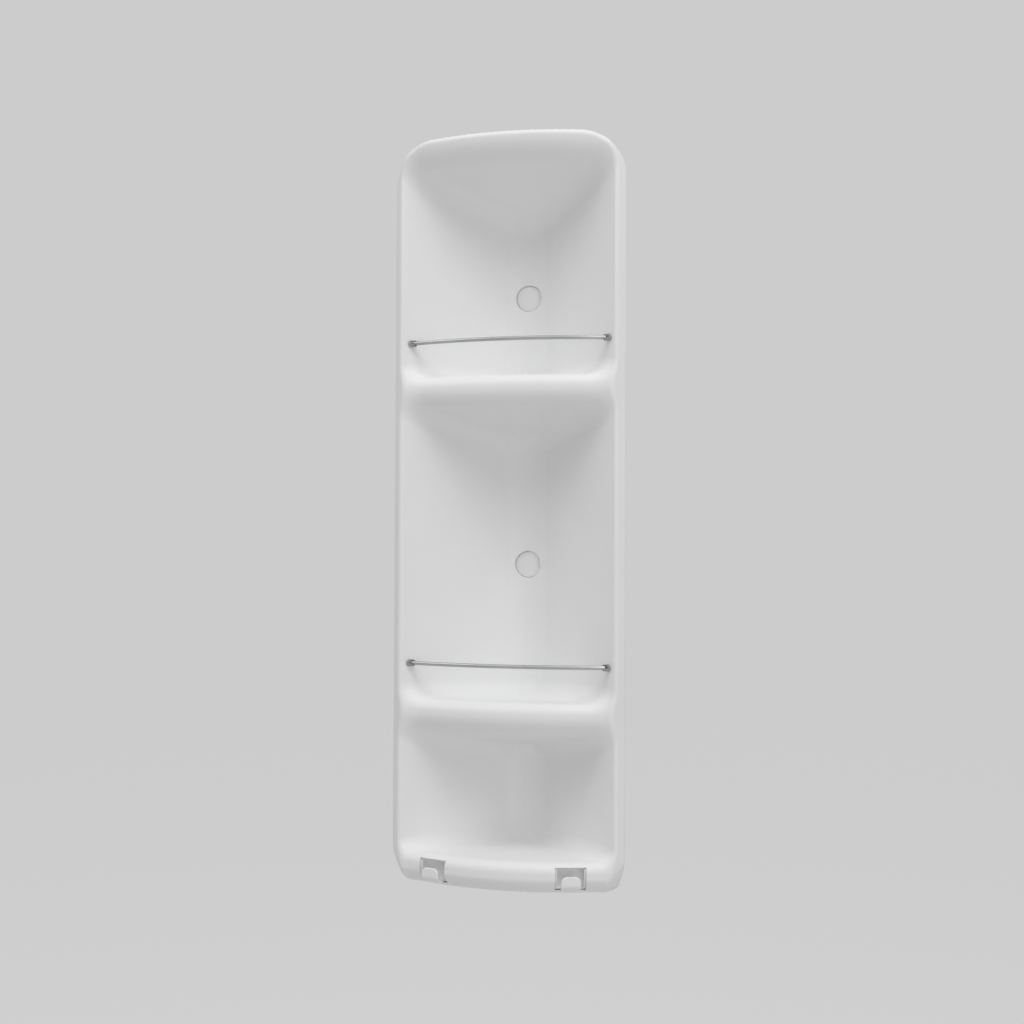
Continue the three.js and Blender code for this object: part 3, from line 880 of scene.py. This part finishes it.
class Paint:
    """A node material in the making."""

    def __init__(self, name):
        self.material = bpy.data.materials.new(name)
        self.material.use_nodes = True
        self.nodes = self.material.node_tree.nodes
        self.links = self.material.node_tree.links
        self.shader = self.nodes["Principled BSDF"]
        self.place = self.nodes.new("ShaderNodeTexCoord").outputs["Object"]

    def noise(self, scale, detail, stretch=None):
        place = self.place
        if stretch:
            mapping = self.nodes.new("ShaderNodeMapping")
            mapping.inputs["Scale"].default_value = stretch
            self.links.new(place, mapping.inputs["Vector"])
            place = mapping.outputs["Vector"]
        texture = self.nodes.new("ShaderNodeTexNoise")
        texture.inputs["Scale"].default_value = scale
        texture.inputs["Detail"].default_value = detail
        self.links.new(place, texture.inputs["Vector"])
        return texture.outputs["Fac"]

    def span(self, source, low, high):
        node = self.nodes.new("ShaderNodeMapRange")
        node.inputs["From Min"].default_value = NOISE_LOW
        node.inputs["From Max"].default_value = NOISE_HIGH
        node.inputs["To Min"].default_value = low
        node.inputs["To Max"].default_value = high
        self.links.new(source, node.inputs["Value"])
        return node.outputs["Result"]

    def colours(self, source, low, high):
        node = self.nodes.new("ShaderNodeValToRGB")
        node.color_ramp.elements[0].position = NOISE_LOW
        node.color_ramp.elements[1].position = NOISE_HIGH
        node.color_ramp.elements[0].color = (*low, 1)
        node.color_ramp.elements[1].color = (*high, 1)
        self.links.new(source, node.inputs["Fac"])
        return node.outputs["Color"]

    def bump(self, source, height, before=None):
        node = self.nodes.new("ShaderNodeBump")
        node.inputs["Strength"].default_value = 1
        node.inputs["Distance"].default_value = height * MM
        self.links.new(source, node.inputs["Height"])
        if before:
            self.links.new(before, node.inputs["Normal"])
        return node.outputs["Normal"]

    def set(self, **values):
        for name, value in values.items():
            socket = self.shader.inputs[name.replace("_", " ")]
            if hasattr(value, "is_linked"):
                self.links.new(value, socket)
            else:
                socket.default_value = value
        return self.material


def white_plastic():
    paint = Paint("white_plastic_moulding")
    cloudy = paint.noise(scale=9, detail=3)
    grain = paint.noise(scale=520, detail=2)
    flow = paint.noise(scale=38, detail=2)
    normal = paint.bump(grain, height=0.012, before=paint.bump(flow, height=0.06))
    return paint.set(
        Base_Color=paint.colours(cloudy, (0.905, 0.907, 0.909), (0.933, 0.933, 0.931)),
        Roughness=paint.span(paint.noise(scale=60, detail=4), low=0.42, high=0.52),
        Normal=normal,
        IOR=1.5,
    )


def rail_steel():
    paint = Paint("polished_wire")
    drawn = paint.noise(scale=900, detail=3, stretch=(0.04, 1, 1))
    tint = paint.noise(scale=45, detail=3)
    return paint.set(
        Base_Color=paint.colours(tint, (0.42, 0.425, 0.43), (0.5, 0.505, 0.51)),
        Metallic=1.0,
        Roughness=paint.span(drawn, low=0.26, high=0.4),
        Normal=paint.bump(drawn, height=0.004),
    )


def clip_grey():
    paint = Paint("grey_fitting")
    tint = paint.noise(scale=160, detail=3)
    return paint.set(
        Base_Color=paint.colours(tint, (0.34, 0.345, 0.35), (0.41, 0.415, 0.42)),
        Roughness=paint.span(paint.noise(scale=300, detail=3), low=0.38, high=0.52),
        Normal=paint.bump(paint.noise(scale=1800, detail=2), height=0.01),
        IOR=1.5,
    )


def fixing_steel():
    paint = Paint("zinc_plate")
    tint = paint.noise(scale=400, detail=4)
    return paint.set(
        Base_Color=paint.colours(tint, (0.5, 0.51, 0.53), (0.64, 0.64, 0.63)),
        Metallic=1.0,
        Roughness=paint.span(paint.noise(scale=700, detail=3), low=0.28, high=0.45),
        Normal=paint.bump(paint.noise(scale=1500, detail=2), height=0.006),
    )


def fixing_nylon():
    paint = Paint("natural_nylon")
    tint = paint.noise(scale=120, detail=3)
    return paint.set(
        Base_Color=paint.colours(tint, (0.44, 0.45, 0.46), (0.54, 0.55, 0.56)),
        Roughness=paint.span(paint.noise(scale=260, detail=3), low=0.45, high=0.6),
        Normal=paint.bump(paint.noise(scale=1200, detail=2), height=0.015),
        IOR=1.53,
    )


def seal_foam():
    paint = Paint("closed_cell_foam")
    cells = paint.nodes.new("ShaderNodeTexVoronoi")
    cells.inputs["Scale"].default_value = 1400
    paint.links.new(paint.place, cells.inputs["Vector"])
    tint = paint.noise(scale=500, detail=4)
    return paint.set(
        Base_Color=paint.colours(tint, (0.07, 0.07, 0.08), (0.12, 0.12, 0.13)),
        Roughness=paint.span(paint.noise(scale=800, detail=3), low=0.85, high=0.98),
        Normal=paint.bump(cells.outputs["Distance"], height=0.25),
    )


def dress(piece, body_name, slot, material, *nodes):
    """A piece's material and body, and the nodes that it stands for. The slot argument is not used."""
    piece.data.materials.clear()
    piece.data.materials.append(material)
    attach(piece, body_name)
    if nodes:
        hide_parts(*nodes)


# Stage, in metres
BACKGROUND = 0.604
WORLD_LIGHT = 0.42
FLOOR_AT = -1.2
FLOOR_BOUNCE = 0.85
FLOOR_SHOWN = 0.45
FLOOR_GLOW = 0.415
FLOOR_REACH = 60.0
FLOOR_ROUGHNESS = 0.9
LAMP_AIM_Y = -0.1
KEY = {"turn": 42, "height": 48, "away": 2.2, "side": 1.1, "power": 12.4, "aim": 0.35}
TOP = {"turn": 15, "height": 70, "away": 2.2, "side": 1.2, "power": 5.4, "aim": 0.35}
FILL = {"turn": -50, "height": 45, "away": 2.2, "side": 1.2, "power": 8.3, "aim": 0.35}
LOW = {"turn": 35, "height": -10, "away": 1.6, "side": 0.8, "power": 2.25, "aim": 0.3}


def make_soft_box(name, turn, height, away, side, power, aim):
    """A square lamp that faces a height on the object."""
    data = bpy.data.lights.new(name, "AREA")
    data.energy = power
    data.size = side
    lamp = bpy.data.objects.new(name, data)
    scene.collection.objects.link(lamp)
    a, e = math.radians(turn), math.radians(height)
    towards = Vector((math.sin(a) * math.cos(e), -math.cos(a) * math.cos(e), math.sin(e)))
    lamp.location = Vector((0, LAMP_AIM_Y, aim)) + away * towards
    lamp.rotation_euler = towards.to_track_quat("Z", "Y").to_euler()


def shown_rays(nodes, links):
    """One for the rays that show the background: camera, glossy and transmission rays."""
    path = nodes.new("ShaderNodeLightPath")
    seen = path.outputs["Is Camera Ray"]
    for kind in ("Is Glossy Ray", "Is Transmission Ray"):
        both = nodes.new("ShaderNodeMath")
        both.operation = "MAXIMUM"
        links.new(seen, both.inputs[0])
        links.new(path.outputs[kind], both.inputs[1])
        seen = both.outputs["Value"]
    return seen


def make_world():
    """The background's tone for the rays that show it, and an even light for the rest."""
    world = bpy.data.worlds.new("studio")
    scene.world = world
    world.use_nodes = True
    nodes, links = world.node_tree.nodes, world.node_tree.links
    nodes.clear()
    seen = shown_rays(nodes, links)
    ambient = nodes.new("ShaderNodeBackground")
    ambient.inputs["Color"].default_value = (1, 1, 1, 1)
    ambient.inputs["Strength"].default_value = WORLD_LIGHT
    shown = nodes.new("ShaderNodeBackground")
    shown.inputs["Color"].default_value = (BACKGROUND, BACKGROUND, BACKGROUND, 1)
    mix = nodes.new("ShaderNodeMixShader")
    links.new(seen, mix.inputs["Fac"])
    links.new(ambient.outputs["Background"], mix.inputs[1])
    links.new(shown.outputs["Background"], mix.inputs[2])
    out = nodes.new("ShaderNodeOutputWorld")
    links.new(mix.outputs["Shader"], out.inputs["Surface"])


def make_floor():
    """A wide floor that shows the background's tone and keeps the object's shadow."""
    mesh = bpy.data.meshes.new("studio_floor")
    far = FLOOR_REACH
    corners = ((-far, -far), (far, -far), (far, far), (-far, far))
    mesh.from_pydata([(x, y, FLOOR_AT) for x, y in corners], [], [(0, 1, 2, 3)])
    floor = object_of("studio_floor", mesh)
    paint = Paint("pale_floor")
    nodes, links = paint.nodes, paint.links
    bounce = (FLOOR_BOUNCE, FLOOR_BOUNCE, FLOOR_BOUNCE, 1)
    paint.set(Base_Color=bounce, Roughness=FLOOR_ROUGHNESS, Specular_IOR_Level=0.0)
    shown = nodes.new("ShaderNodeBsdfDiffuse")
    shown.inputs["Color"].default_value = (FLOOR_SHOWN, FLOOR_SHOWN, FLOOR_SHOWN, 1)
    glow = nodes.new("ShaderNodeEmission")
    glow.inputs["Strength"].default_value = FLOOR_GLOW
    lit = nodes.new("ShaderNodeAddShader")
    links.new(shown.outputs["BSDF"], lit.inputs[0])
    links.new(glow.outputs["Emission"], lit.inputs[1])
    mix = nodes.new("ShaderNodeMixShader")
    links.new(shown_rays(nodes, links), mix.inputs["Fac"])
    links.new(paint.shader.outputs["BSDF"], mix.inputs[1])
    links.new(lit.outputs["Shader"], mix.inputs[2])
    links.new(mix.outputs["Shader"], nodes["Material Output"].inputs["Surface"])
    mesh.materials.append(paint.material)


make_camera()
make_world()
make_floor()
for lamp_name, lamp in (("key", KEY), ("top", TOP), ("fill", FILL), ("low", LOW)):
    make_soft_box(f"{lamp_name}_light", **lamp)

white = white_plastic()
steel = rail_steel()
grey = clip_grey()
zinc = fixing_steel()
nylon = fixing_nylon()
foam = seal_foam()

dress(make_body(), "unit", "white_plastic", white, "body_shell")
for side_name, side in SIDES.items():
    hook = moulded(f"hook_{side_name}_moulding", hook_form, HOOK_LINES, hook_place(side))
    dress(hook, "unit", "white_plastic", white, f"hook_{side_name}")
    seal = make_seal(f"rim_seal_{side_name}_strip", side)
    dress(seal, "unit", "seal_foam", foam, f"rim_seal_{side_name}")
for level in SHELVES:
    dress(make_rail(level), f"{level}_rail", "rail_steel", steel, f"{level}_rail")
    for side_name, side in SIDES.items():
        node = f"{level}_rail_clip_{side_name}"
        clip = moulded(f"{node}_moulding", clip_form(side), CLIP_LINES, clip_place(side, level))
        dress(clip, "unit", "clip_grey", grey, node)
for level in FIXINGS:
    dress(make_cap(level), f"{level}_cap", "white_plastic", white, f"{level}_cap")
    dress(make_washer(level), "unit", "fixing_nylon", nylon, f"{level}_washer")
    head, thread = make_screw(level)
    dress(head, "unit", "fixing_steel", zinc, f"{level}_screw")
    dress(thread, "unit", "fixing_steel", zinc)
    dress(make_plug(level), "unit", "fixing_nylon", nylon, f"{level}_wall_plug")

scene.view_settings.view_transform = "Standard"
